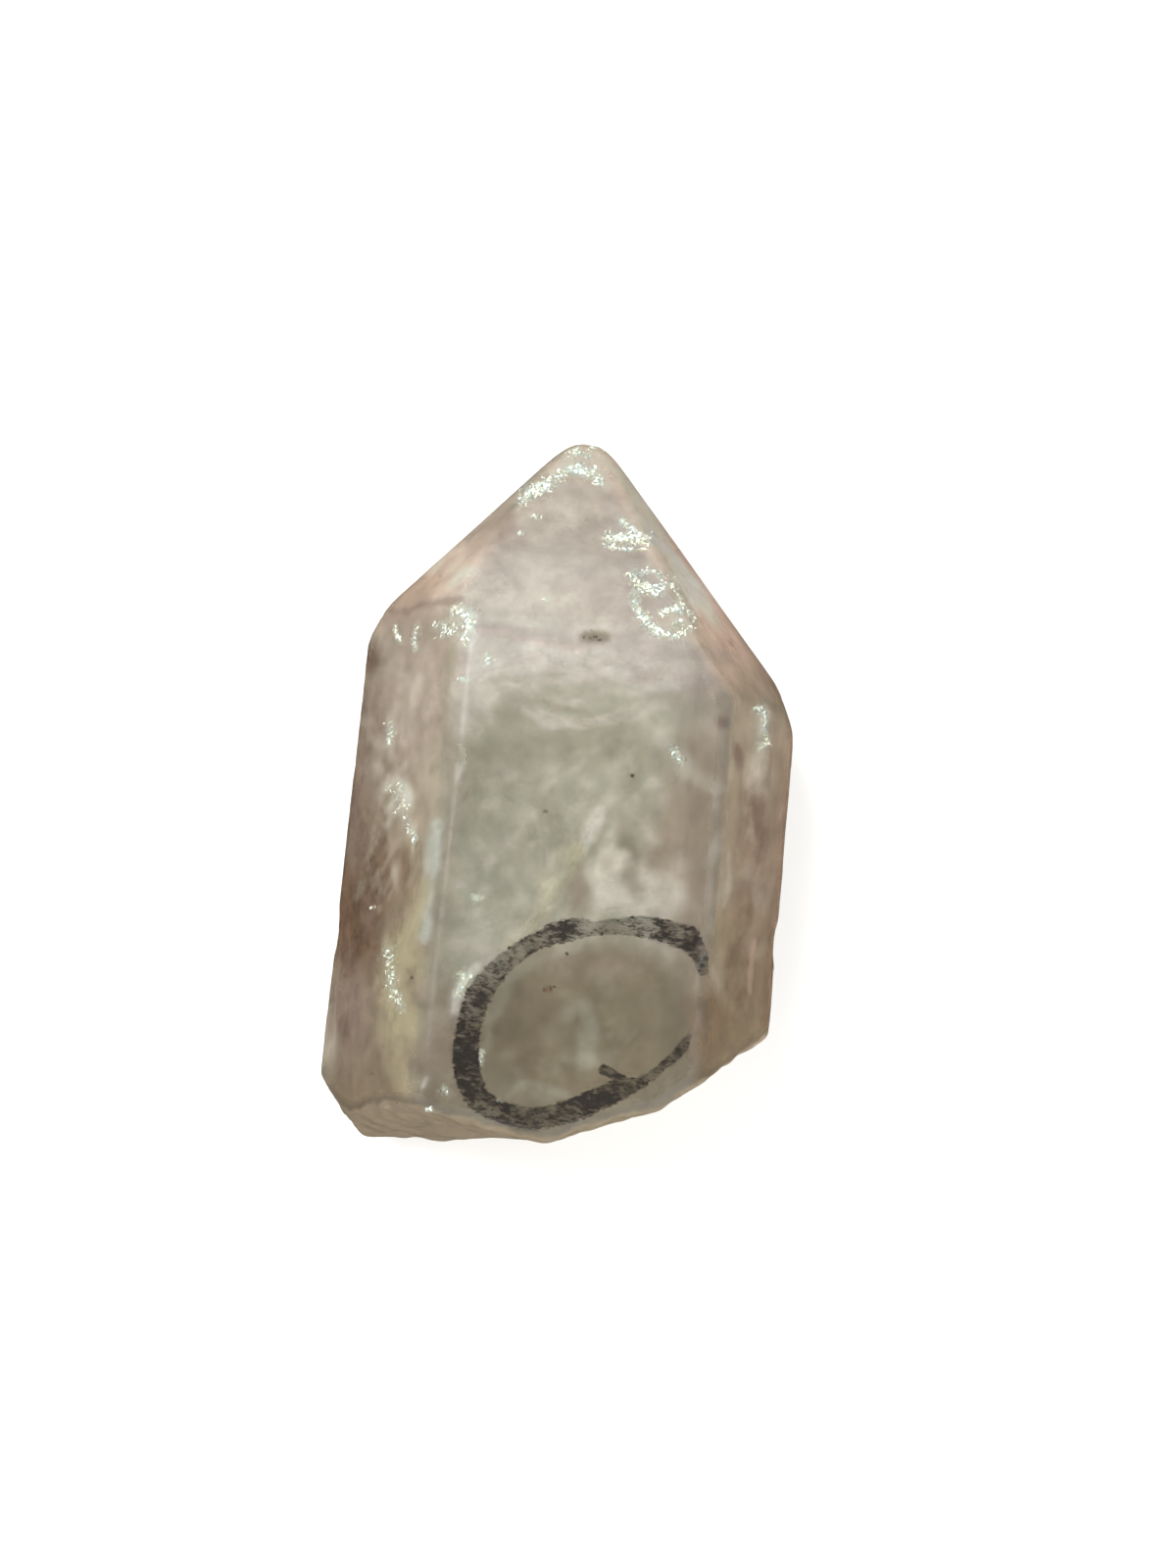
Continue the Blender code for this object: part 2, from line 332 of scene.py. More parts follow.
# middle and half size in pixels, turn in degrees, colour, strength, softness, raggedness in pixels
stonePatches = {
    "tip": (590, 555, 205, 140, 0, "tipHaze", 1.0, 0.35, 22),
    "tipLeftMilk": (522, 612, 52, 30, -12, "tipMist", 0.35, 0.6, 14),
    "tipLeftSmoke": (508, 560, 26, 22, -50, "mauve", 0.55, 0.7, 10),
    "tipRightSmoke": (640, 612, 60, 36, 20, "mauve", 0.6, 0.7, 16),
    "tipUpperSmoke": (585, 522, 46, 28, 0, "mauve", 0.35, 0.8, 14),
    "tipHighMilk": (600, 510, 24, 14, 0, "tipHaze", 0.4, 0.8, 8),
    "tipLowMilk": (560, 636, 70, 9, 4, "paleMilk", 0.4, 0.7, 8),
    "barShade": (642, 566, 34, 7, 0, "mauve", 0.5, 0.7, 5),
    "leftFacet": (440, 596, 70, 24, -38, "paleRose", 0.95, 0.45, 6),
    "leftFacetRose": (416, 612, 40, 12, -38, "rose", 0.85, 0.6, 6),
    "leftFacetRim": (496, 548, 40, 12, -40, "mauve", 0.8, 0.7, 6),
    "rightFacet": (694, 566, 20, 116, -33, "pinkMist", 0.95, 0.5, 6),
    "rightFacetLow": (752, 672, 26, 46, -38, "rose", 0.6, 0.6, 8),
    "topCap": (596, 466, 30, 12, 0, "tipMist", 0.5, 0.6, 8),
    "milkyBand": (590, 688, 135, 20, 5, "mauve", 0.4, 0.5, 10),
    "milkyBandLeft": (497, 688, 34, 22, 10, "tipMist", 0.6, 0.6, 10),
    "milkyBandRight": (690, 702, 60, 26, 8, "mauve", 0.7, 0.7, 14),
    "bandShade": (610, 714, 74, 13, 6, "greyGreen", 0.7, 0.6, 8),
    "frontBody": (585, 835, 140, 120, 5, "paleGreen", 0.9, 0.35, 18),
    "arch": (580, 772, 112, 38, 3, "greyGreen", 1.0, 0.45, 14),
    "archLeft": (498, 790, 28, 76, 8, "greyGreen", 0.85, 0.6, 12),
    "archRight": (650, 760, 38, 22, 12, "greyGreen", 0.7, 0.6, 10),
    "archMiddle": (596, 806, 46, 20, 0, "paleGreen", 0.7, 0.8, 12),
    "mistMiddle": (560, 858, 50, 34, 0, "greyGreen", 0.6, 0.8, 14),
    "mistDusk": (528, 880, 24, 16, 0, "greyGreen", 0.6, 0.7, 8),
    "frontRight": (704, 850, 36, 120, 5, "brownGrey", 0.95, 0.6, 14),
    "fan": (664, 880, 42, 56, -14, "brownGrey", 0.45, 0.8, 14),
    "fanPale": (622, 902, 16, 30, 6, "paleMilk", 0.45, 0.7, 8),
    "fanLower": (652, 914, 46, 20, 6, "tipHaze", 0.6, 0.7, 8),
    "fanStrip": (644, 884, 9, 32, -14, "deepOlive", 0.7, 0.6, 3),
    "underCrack": (590, 908, 15, 30, -8, "brownGrey", 0.8, 0.6, 5),
    "creamBand": (562, 898, 9, 36, 26, "cream", 0.9, 0.5, 4),
    "crackMilk": (603, 842, 8, 17, 35, "paleMilk", 0.7, 0.6, 5),
    "mistLeft": (488, 935, 48, 42, 0, "paleGreen", 0.8, 0.7, 16),
    "mistLeftPale": (486, 962, 20, 18, 0, "paleMilk", 0.45, 0.7, 10),
    "lowerPart": (600, 1105, 250, 100, -8, "olive", 0.85, 0.4, 18),
    "lowLeftRust": (450, 1060, 22, 60, 4, "brownGrey", 0.6, 0.7, 10),
    "ringInside": (600, 1045, 112, 84, -22, "olive", 1.0, 0.25, 6),
    "ringDark": (528, 1044, 34, 44, 10, "deepOlive", 0.55, 0.7, 10),
    "ringTopSmoke": (600, 985, 50, 14, 4, "brownGrey", 0.7, 0.7, 8),
    "ringRust": (559, 1010, 5, 4, 0, "umber", 0.7, 0.6, 2),
    "ringLow": (560, 1108, 56, 16, -8, "olive", 0.6, 0.7, 10),
    "leftFace": (402, 860, 60, 270, 5, "brownGrey", 0.85, 0.35, 12),
    "leftFaceUpper": (416, 712, 44, 76, 5, "mauve", 0.7, 0.6, 10),
    "leftFaceHaze": (424, 690, 22, 34, 5, "tipHaze", 0.4, 0.8, 10),
    "leftFaceShade": (381, 674, 11, 16, 0, "plum", 0.6, 0.8, 6),
    "leftFacePink": (417, 676, 12, 12, 0, "dusk", 0.5, 0.8, 6),
    "leftFaceGrey": (376, 735, 12, 34, 5, "dusk", 0.5, 0.8, 8),
    "leftDark": (366, 930, 30, 66, 8, "deepBrown", 0.95, 0.5, 12),
    "leftDarkTip": (398, 880, 16, 34, -20, "deepBrown", 0.7, 0.7, 10),
    "leftDarkHigh": (366, 820, 12, 60, 5, "dusk", 0.7, 0.7, 8),
    "leftPurple": (356, 1040, 22, 44, 4, "softPurple", 0.8, 0.6, 10),
    "leftLow": (380, 1110, 60, 40, 0, "brownGrey", 0.8, 0.7, 12),
    "leftPatch": (404, 814, 18, 21, -18, "milk", 0.9, 0.35, 4),
    "leftPatchLow": (417, 846, 8, 12, -24, "tipHaze", 0.5, 0.6, 5),
    "leftPatchSide": (438, 800, 12, 50, 4, "paleMilk", 0.4, 0.8, 8),
    "rightFace": (764, 900, 54, 250, 5, "brownGrey", 0.85, 0.4, 12),
    "rightFaceLow": (752, 1010, 48, 100, 4, "lowBrown", 0.85, 0.6, 14),
    "rightFaceRust": (776, 860, 22, 60, 4, "dusk", 0.45, 0.8, 10),
    "rightCorner": (722, 1042, 18, 50, 10, "deepBrown", 0.55, 0.7, 10),
    "rightRose": (772, 880, 20, 130, 4, "deepRose", 0.25, 0.8, 12),
    "rightHigh": (742, 660, 26, 40, -40, "rose", 0.5, 0.7, 10),
    "rightHookMilk": (773, 784, 12, 22, 4, "paleMilk", 0.6, 0.6, 8),
    "rightHookHaze": (777, 744, 9, 24, 4, "blueMilk", 0.6, 0.8, 6),
    "rightSmudge": (753, 771, 4.5, 15, -8, "plum", 0.8, 0.6, 4),
    "rightSmudgeHigh": (738, 739, 6, 7, 0, "plum", 0.7, 0.7, 4),
    "baseLeft": (400, 1150, 75, 20, 5, "olive", 0.9, 0.6, 8),
}

# route in pixels, half width in pixels, colour, strength, raggedness in pixels
stoneStreaks = {
    "tipEdge": ([(492, 643), (540, 647), (600, 653), (660, 660), (748, 671)], 8, "mauve", 0.6, 6),
    "tipEdgeLight": ([(480, 645), (510, 647), (560, 656), (600, 662)], 3, "rose", 0.35, 5),
    "tipEdgeSmudge": ([(598, 649), (607, 649), (618, 651)], 7, "olive", 0.85, 2),
    "tipEdgeSmudgeDark": ([(603, 652), (608, 653), (613, 654)], 3, "deepOlive", 0.6, 1),
    "leftFacetEdge": ([(402, 626), (430, 618), (470, 612)], 4, "dusk", 0.5, 3),
    "secondBand": ([(538, 727), (562, 733), (600, 740), (640, 734), (668, 722)], 7, "tipHaze", 0.5, 9),
    "bandWave": ([(470, 716), (530, 704), (560, 716), (620, 706), (680, 722)], 4, "paleMilk", 0.25, 8),
    "glintTail": ([(674, 749), (690, 768), (706, 786), (730, 806)], 9, "paleMilk", 0.35, 9),
    "creamCrackHigh": ([(612, 830), (606, 846), (588, 872)], 6, "paleMilk", 0.8, 5),
    "creamCrack": ([(585, 868), (574, 890), (560, 912), (552, 930)], 11, "cream", 0.9, 6),
    "creamCrackLow": ([(552, 930), (538, 948), (518, 966)], 6, "cream", 0.6, 6),
    "leftBlueStrip": ([(446, 840), (441, 880), (437, 920), (433, 955)], 9, "blueMilk", 0.85, 5),
    "leftCreamHigh": ([(436, 905), (424, 940), (412, 975)], 12, "cream", 0.7, 8),
    "leftCreamStrip": ([(404, 965), (402, 1010), (408, 1040)], 15, "cream", 0.85, 8),
    "leftCreamLow": ([(400, 1040), (404, 1075), (414, 1105)], 15, "cream", 0.5, 9),
    "leftEdgeGrey": ([(462, 660), (456, 720), (452, 780), (450, 840)], 6, "paleGreen", 0.5, 5),
    "ringStreak": ([(599, 1030), (603, 1050), (597, 1080)], 11, "paleGreen", 0.45, 9),
    "ringSpot": ([(595, 1083), (602, 1084)], 8, "paleMilk", 0.15, 5),
    "ringRim": ([(498, 1074), (500, 1040), (520, 1004), (548, 982), (590, 968)], 6, "paleGreen", 0.3, 6),
    "lowArc": ([(516, 1118), (540, 1106), (566, 1112), (588, 1122)], 6, "paleGreen", 0.3, 8),
    "outsideRing": ([(464, 1030), (470, 1008), (486, 988)], 6, "milk", 0.55, 5),
    "rightRim": ([(806, 735), (806, 790), (799, 860), (793, 920), (787, 1000), (782, 1045)],
                 7, "deepRose", 0.25, 3),
    "rightTipRim": ([(640, 482), (690, 558), (740, 630), (798, 716)], 4, "deepRose", 0.35, 3),
    # painted shade: a thin dark line along the left outline
    "leftRim": ([(372, 705), (360, 800), (346, 930), (336, 1060)], 3, "plum", 0.2, 2),
    "rightGlow": ([(742, 870), (741, 900), (739, 925)], 3, "paleMilk", 0.4, 5),
    "rightLowGlow": ([(769, 960), (766, 990), (765, 1010)], 3.5, "rose", 0.5, 4),
    "leftFaceStreak": ([(398, 730), (400, 752), (398, 775)], 6, "paleMilk", 0.6, 6),
    "leftLowMark": ([(416, 990), (420, 998), (417, 1006)], 3, "dusk", 0.7, 2),
}

# soft flecks strewn over a patch: the patch's middle, half size and turn, the number of flecks,
# half size of the largest fleck in pixels, turn, colour and strength
fleckFields = {
    "leftPale": (402, 730, 34, 80, 5, 40, (5, 7), 20, "tipHaze", 0.35),
    "leftMiddle": (396, 880, 30, 60, 8, 26, (3, 10), 14, "paleMilk", 0.5),
    "leftCream": (408, 1010, 26, 60, 4, 40, (6, 10), -6, "cream", 0.55),
    "leftDusky": (372, 1020, 26, 90, 5, 26, (5, 12), 6, "dusk", 0.4),
    "leftBrown": (382, 860, 24, 90, 6, 22, (4, 14), 10, "brownGrey", 0.5),
    "tipPale": (590, 575, 90, 60, 0, 46, (7, 6), 30, "tipMist", 0.3),
    "tipDusky": (590, 575, 95, 65, 0, 34, (8, 7), 30, "mauve", 0.25),
    "bandPale": (590, 690, 120, 26, 6, 44, (10, 5), 4, "milk", 0.25),
    "bandDusky": (600, 712, 110, 22, 6, 30, (12, 4), 4, "greyGreen", 0.4),
    "archPale": (590, 810, 90, 46, 0, 46, (8, 7), -30, "paleMilk", 0.32),
    "archDusky": (570, 790, 110, 60, 0, 40, (9, 8), -30, "olive", 0.25),
    "mistPale": (520, 905, 58, 50, -40, 44, (8, 6), -50, "paleMilk", 0.3),
    "mistDusky": (530, 890, 60, 46, -40, 26, (8, 7), -50, "greyGreen", 0.5),
    "fanPale": (655, 895, 48, 46, -20, 34, (8, 9), -70, "tipMist", 0.3),
    "fanDusky": (668, 870, 50, 60, -20, 26, (7, 12), -16, "brownGrey", 0.25),
    "rightPale": (756, 880, 34, 160, 4, 34, (4, 13), 4, "paleMilk", 0.3),
    "rightDusky": (760, 900, 36, 170, 4, 40, (5, 9), 4, "brownGrey", 0.2),
    "ringPale": (590, 1060, 80, 54, -30, 34, (6, 5), -30, "paleGreen", 0.2),
    "ringDusky": (575, 1030, 80, 50, -30, 28, (7, 6), -30, "deepOlive", 0.25),
    "lowPale": (480, 1120, 110, 26, 8, 26, (8, 5), 5, "paleGreen", 0.2),
}

# bright silvery cracks near the surface, whose whiteness is partly their own and partly painted glints and
# reflection: pixel, half width in pixels, strength
bruisesAndGlints = {
    "highLeft": [(531, 514, 6, 0.6), (541, 503, 10, 0.9), (553, 496, 9, 1.0), (566, 489, 5, 0.6)],
    "highMiddle": [(568, 488, 5, 0.6), (580, 481, 7, 0.9), (592, 478, 6, 1.0), (599, 484, 4, 0.6)],
    "highRight": [(600, 480, 5, 0.7), (608, 486, 6, 0.9), (614, 494, 4, 0.7)],
    "apexGlint": [(603, 457, 3, 0.9), (607, 458, 3, 0.9)],
    "apexHaze": [(580, 462, 4, 0.5), (592, 460, 7, 0.5), (603, 466, 4, 0.4)],
    "barCore": [(620, 549, 6, 1.0), (632, 549, 7, 1.1), (646, 550, 6, 1.1)],
    "barEnd": [(646, 548, 7, 0.8), (656, 550, 8, 0.9), (661, 554, 5, 0.8)],
    "barUpper": [(633, 530, 3, 0.8), (639, 536, 4, 0.9), (648, 542, 4, 0.6)],
    "barLower": [(617, 557, 2.5, 0.6), (640, 561, 2.5, 0.7), (660, 560, 2.5, 0.6)],
    "shellHigh": [(646, 589, 5, 0.8), (656, 598, 7, 1.0), (666, 604, 6, 1.1), (675, 603, 5, 0.9),
                  (677, 595, 4, 0.8)],
    "shellTop": [(642, 586, 4, 0.7), (656, 584, 4, 0.5), (664, 582, 4, 0.5), (680, 588, 3.5, 0.7)],
    "shellRim": [(645, 606, 4, 0.6), (652, 625, 5, 1.0), (663, 639, 6, 1.1), (676, 648, 5, 1.0),
                 (692, 649, 4, 0.8), (704, 641, 4, 0.7), (709, 630, 3, 0.7)],
    "shellRight": [(684, 592, 4, 0.8), (692, 606, 4, 0.8), (699, 622, 4, 0.9), (706, 628, 4, 0.7)],
    "shellInner": [(675, 626, 4, 0.9), (686, 622, 5, 1.0), (696, 622, 4, 0.9)],
    "shellLow": [(686, 638, 4, 0.8), (697, 634, 4, 0.7)],
    "shoulder": [(460, 622, 4, 0.6), (470, 622, 6, 0.8), (479, 631, 6, 1.0), (478, 645, 6, 1.0),
                 (474, 656, 4, 0.7)],
    "shoulderHaze": [(448, 640, 7, 0.6), (464, 642, 10, 0.8)],
    "shoulderLow": [(496, 667, 4, 0.8), (499, 675, 4, 0.8)],
    "streakOne": [(403, 640, 3, 0.7), (406, 648, 3, 0.8), (408, 656, 2.5, 0.6)],
    "streakTwo": [(426, 638, 2.5, 0.6), (423, 650, 3, 0.7), (424, 663, 3, 0.9)],
    "edgeGlint": [(469, 693, 2.5, 0.8), (475, 694, 3, 1.0)],
    "tipGlint": [(530, 544, 2.5, 1.0), (533, 543, 2.5, 1.0)],
    "tipGlintLow": [(554, 611, 2.5, 0.9), (557, 612, 2.5, 0.9)],
    "tipScuff": [(543, 526, 3, 0.6), (549, 529, 3, 0.6)],
    "leftPatchCore": [(398, 806, 6, 0.25), (406, 815, 8, 0.25), (413, 822, 6, 0.25), (402, 828, 6, 0.2)],
    "leftPatchTop": [(406, 800, 3, 0.9), (409, 804, 3, 1.0)],
    "leftPatchTail": [(414, 836, 4, 0.4), (419, 848, 4, 0.4), (424, 857, 3, 0.8)],
    "leftSpeck": [(397, 738, 3, 0.7), (399, 747, 4, 0.8), (396, 760, 3, 0.6)],
    "hook": [(769, 724, 3, 0.7), (776, 722, 4, 0.9), (780, 732, 3.5, 0.9), (778, 745, 3, 0.8),
             (783, 757, 3, 0.9), (775, 763, 3, 0.9)],
    "glintRight": [(685, 763, 4, 0.5), (691, 771, 5, 0.7), (696, 778, 3, 0.4)],
    "mistGlint": [(484, 916, 4, 0.6), (490, 916, 4, 0.7)],
    "outsideRing": [(470, 994, 4, 0.7), (474, 1000, 5, 0.7), (468, 1014, 5, 0.5)],
    "insideRing": [(491, 1074, 2.5, 0.7), (491, 1086, 2.5, 0.7)],
    "ringFoot": [(508, 1122, 2, 0.7), (511, 1125, 2, 0.7)],
    "baseGlint": [(435, 1131, 2.5, 0.8), (440, 1132, 3, 1.0)],
    "basePale": [(452, 1110, 4, 0.4), (458, 1116, 4, 0.4)],
    "leftGlint": [(379, 926, 2, 0.8), (382, 926, 2, 0.8)],
    "creamLow": [(396, 968, 5, 0.5), (400, 1008, 6, 0.5), (409, 1028, 5, 0.55)],
}

# the drawn ring: pixel, half width in pixels, strength
inkRoutes = {
    "ring": [
        (716, 990, 6, 0.7), (714, 974, 9, 0.85), (702, 957, 13, 0.85), (676, 949, 12, 0.75),
        (650, 946, 11, 0.65), (625, 946, 8, 0.45), (605, 948, 7, 0.4), (585, 948, 12, 0.8),
        (565, 953, 12, 0.8), (548, 961, 9, 0.7), (530, 972, 10, 0.6), (514, 984, 11, 0.55),
        (500, 999, 12, 0.6), (489, 1016, 13, 0.75), (481, 1036, 13, 0.8), (477, 1058, 13, 0.85),
        (475, 1080, 14, 1.0), (477, 1100, 14, 1.0), (486, 1119, 13, 0.75), (502, 1131, 12, 0.7),
        (521, 1138, 11, 0.7), (541, 1141, 12, 0.8), (562, 1139, 11, 0.7), (583, 1133, 12, 0.85),
        (601, 1126, 13, 1.0), (619, 1118, 12, 1.0), (636, 1111, 10, 0.85), (650, 1105, 7, 0.7),
        (662, 1100, 5, 0.5), (675, 1090, 4, 0.6), (688, 1079, 5, 0.75), (697, 1068, 6, 0.75),
        (703, 1058, 3, 0.5)],
    "hook": [(616, 1092, 6, 0.9), (626, 1097, 5, 0.85), (640, 1104, 4, 0.85), (657, 1104, 5, 0.85)],
}

# what the sides that the photograph hides are made of: size, seed, colour, strength
cloudLayers = [
    (7.0 * mm, 11, "tipMist", 0.8),
    (4.5 * mm, 12, "brownGrey", 0.6),
    (3.0 * mm, 13, "milk", 0.6),
    (5.5 * mm, 14, "mauve", 0.5),
    (1.8 * mm, 15, "paleMilk", 0.5),
]


def tint(colour, name, mask):
    # brings each colour nearer to a named one, by the mask's share
    colour += (stoneColours[name] - colour) * mask[:, None]


def hiddenClouds(places):
    colour = np.tile(stoneColours["paleGreen"], (len(places), 1))
    squeezed = places * np.array([1.0, 0.6, 1.0])
    for size, seed, name, strength in cloudLayers:
        tint(colour, name, smooth(-0.05, 0.55, noiseAt(squeezed, size, seed)) * strength)
    return colour


def strewFlecks(pixels, ragged, colour, upper):
    dice = random.Random(stoneLook["fleckSeed"])
    for middleX, middleY, wide, high, turn, count, size, lean, name, strength in fleckFields.values():
        turn = math.radians(turn)
        for _ in range(count):
            reach, angle = math.sqrt(dice.random()), dice.uniform(0, math.tau)
            across, along = reach * wide * math.cos(angle), reach * high * math.sin(angle)
            spot = (middleX + across * math.cos(turn) - along * math.sin(turn),
                    middleY + across * math.sin(turn) + along * math.cos(turn))
            share = dice.uniform(0.35, 1.0) * stoneLook["fleckSize"]
            fleck = (size[0] * share, size[1] * share * dice.uniform(0.7, 1.3))
            near = np.nonzero(np.abs(pixels - spot).max(1) < 2.6 * max(fleck))[0]
            mask = patchMask(pixels[near], ragged[near], spot, fleck, lean + dice.uniform(-25, 25), 0.7, 5)
            mask *= min(strength * dice.uniform(0.4, 1.0), 0.9) * upper[near]
            colour[near] += (stoneColours[name] - colour[near]) * mask[:, None]


def strokeReach(pixels, routes):
    # 1 in the middle of a stroke, a half at its edge and 0 beyond, with the stroke's strength there
    reach = np.zeros(len(pixels))
    strength = np.zeros(len(pixels))
    for route in routes.values():
        distance, carried = followRoute(pixels, route)
        own = np.clip(1 - distance / (2 * carried[:, 0]), 0, 1)
        better = own * carried[:, 1] > reach * strength
        reach[better] = own[better]
        strength[better] = carried[better, 1]
    return reach, strength


def paintStone(mesh):
    places = corners(mesh)
    normals = cornerNormals(mesh)
    pixels = toPhoto(places)
    broad, fine = stoneLook["ragged"]
    ragged = np.column_stack([
        noiseAt(places, broad, seed, 2) + 0.4 * noiseAt(places, fine, seed + 1, 1) for seed in (1, 3)])
    mottle, mottleSize = stoneLook["mottle"]
    upper = smooth(*facing["upper"], normals[:, 2])

    colour = hiddenClouds(places)
    tint(colour, "darkBrown", stoneLook["lowerShade"] * smooth(*facing["lower"], -normals[:, 2]))
    for middleX, middleY, wide, high, turn, name, strength, softness, raggedness in stonePatches.values():
        mask = patchMask(pixels, ragged, (middleX, middleY), (wide, high), turn, softness, raggedness)
        tint(colour, name, mask * strength * upper)
    for route, halfWidth, name, strength, raggedness in stoneStreaks.values():
        distance, _ = followRoute(pixels + ragged * raggedness, route)
        tint(colour, name, (1 - smooth(0.35, 1.3, distance / halfWidth)) * strength * upper)
    strewFlecks(pixels, ragged, colour, upper)
    colour *= (1 + mottle * noiseAt(places, mottleSize, 5, 3))[:, None]

    broken = brokenShare(normals)
    steep = (1 - smooth(*facing["level"], np.abs(normals[:, 2]))) * (1 - broken)
    colour *= 1 - np.array(stoneLook["sideShade"]) * steep[:, None]
    worn = edgeWear(mesh, normals, stoneLook["wornBend"])
    onPrism = 1 - smooth(0.1, 0.5, normals[:, 1])
    colour *= 1 - stoneLook["edgeShade"] * (worn * (1 - broken) * onPrism)[:, None]
    # painted shade: a thin dark line where the faces stand upright, which runs along the outline
    name, strength = stoneLook["rim"]
    tint(colour, name, (1 - smooth(*facing["rim"], np.abs(normals[:, 2]))) * strength * (1 - broken))
    tint(colour, "brownGrey", 0.7 * broken)
    colour *= 1 - np.array(stoneLook["baseShade"]) * broken[:, None]
    colour = np.array(stoneLook["brightness"]) * colour ** stoneLook["tintPower"]
    below = smooth(*facing["underside"], -normals[:, 2])
    colour += (np.array(stoneLook["undersideColour"]) - colour) * below[:, None]
    paintColour(mesh, "stone", np.clip(colour, 0, 0.97))

    ink, inkStrength = strokeReach(pixels + ragged * 1.5, inkRoutes)
    ink *= smooth(*facing["inked"], normals[:, 2])
    frost = np.clip(stoneLook["frost"][0] * worn + stoneLook["frost"][1] * broken, 0, 1)
    paintColour(mesh, "marks", np.column_stack([ink, inkStrength, frost]))
    bright, brightStrength = strokeReach(pixels + ragged * 1.2, bruisesAndGlints)
    paintColour(mesh, "bruiseGlint", np.column_stack([bright * upper, brightStrength, worn]))


paintStone(skin.data)
print("skin painted")


# Building blocks for shaders

def feed(tree, node, inputs):
    # gives each named input a plain value or another node's output
    for name, value in inputs.items():
        if isinstance(value, bpy.types.NodeSocket):
            tree.links.new(value, node.inputs[name])
        else:
            node.inputs[name].default_value = value
    return node


def put(tree, kind, inputs=None, **settings):
    made = tree.nodes.new(kind)
    for name, value in settings.items():
        setattr(made, name, value)
    return feed(tree, made, inputs or {})


def maths(tree, operation, first, second):
    return put(tree, "ShaderNodeMath", {0: first, 1: second}, operation=operation).outputs[0]


def centred(tree, value, strength):
    return maths(tree, "MULTIPLY", maths(tree, "SUBTRACT", value, 0.5), strength)


def mixColour(tree, share, first, second, blend="MIX"):
    inputs = {0: share, 6: first, 7: second}
    return put(tree, "ShaderNodeMix", inputs, data_type="RGBA", blend_type=blend).outputs[2]


def spread(tree, value, low, high):
    # 0 at low and 1 at high, with soft ends
    inputs = {"Value": value, "From Min": low, "From Max": high}
    return put(tree, "ShaderNodeMapRange", inputs, interpolation_type="SMOOTHSTEP").outputs["Result"]


def newGroup(name, inputs, outputs):
    # a shader node group with named number inputs and named outputs
    group = bpy.data.node_groups.new(name, "ShaderNodeTree")
    for label, value in inputs.items():
        socket = group.interface.new_socket(label, in_out="INPUT", socket_type="NodeSocketFloat")
        socket.default_value = value
    for label, kind in outputs.items():
        group.interface.new_socket(label, in_out="OUTPUT", socket_type=kind)
    return group, group.nodes.new("NodeGroupInput"), group.nodes.new("NodeGroupOutput")


def placeNoise(tree, perMetre, detail, roughness=0.55):
    # noise on the object's own place, with its cycles per metre in each direction
    place = put(tree, "ShaderNodeTexCoord").outputs["Object"]
    scaled = put(tree, "ShaderNodeMapping", {"Vector": place, "Scale": perMetre}).outputs["Vector"]
    inputs = {"Vector": scaled, "Scale": 1.0, "Detail": detail, "Roughness": roughness}
    return put(tree, "ShaderNodeTexNoise", inputs).outputs["Fac"]


def mixed(tree, first, second, share):
    rest = maths(tree, "MULTIPLY", second, 1 - share)
    return maths(tree, "ADD", maths(tree, "MULTIPLY", first, share), rest)


def makeCloudGroup():
    # a number near 1 that varies from place to place, to multiply a colour by
    group, given, result = newGroup("cloudiness", {"Contrast": 0.2}, {"Shade": "NodeSocketFloat"})
    broad = placeNoise(group, (900, 700, 900), 4, 0.6)
    fine = placeNoise(group, (5200, 5200, 5200), 2, 0.6)
    both = mixed(group, broad, fine, 0.6)
    swing = centred(group, both, given.outputs["Contrast"])
    group.links.new(maths(group, "ADD", maths(group, "MULTIPLY", swing, 2.0), 1.0), result.inputs["Shade"])
    return group


def makeInkGroup():
    # turns a stroke's reach, 1 in its middle and 0 outside, into worn ink with a torn edge
    group, given, result = newGroup(
        "worn_ink", {"Reach": 0.0, "Strength": 1.0, "Torn": 0.3, "Thin": 0.7}, {"Mask": "NodeSocketFloat"})
    torn = centred(group, placeNoise(group, (2600, 4600, 2600), 3, 0.7), given.outputs["Torn"])
    cover = spread(group, maths(group, "ADD", given.outputs["Reach"], torn), 0.46, 0.56)
    lumps = placeNoise(group, (900, 1300, 900), 2)
    streaks = placeNoise(group, (2000, 4400, 2000), 4, 0.75)
    grain = mixed(group, lumps, streaks, 0.3)
    lean = centred(group, given.outputs["Strength"], 0.24)
    full = spread(group, maths(group, "ADD", grain, lean), 0.46, 0.62)
    thin = maths(group, "MULTIPLY", maths(group, "SUBTRACT", 1.0, full), given.outputs["Thin"])
    mask = maths(group, "MULTIPLY", cover, maths(group, "SUBTRACT", 1.0, thin))
    group.links.new(mask, result.inputs["Mask"])
    return group


def angularCells(tree, perMetre):
    # one random number for each small angular cell
    place = put(tree, "ShaderNodeTexCoord").outputs["Object"]
    bent = put(tree, "ShaderNodeTexNoise", {"Vector": place, "Scale": perMetre * 0.8, "Detail": 1.0})
    inputs = {0: bent.outputs["Color"], "Scale": 0.5 / perMetre}
    moved = put(tree, "ShaderNodeVectorMath", inputs, operation="SCALE")
    whole = put(tree, "ShaderNodeVectorMath", {0: place, 1: moved.outputs[0]}, operation="ADD")
    cells = put(tree, "ShaderNodeTexVoronoi", {"Vector": whole.outputs[0], "Scale": perMetre})
    return put(tree, "ShaderNodeSeparateColor", {"Color": cells.outputs["Color"]}).outputs["Red"]


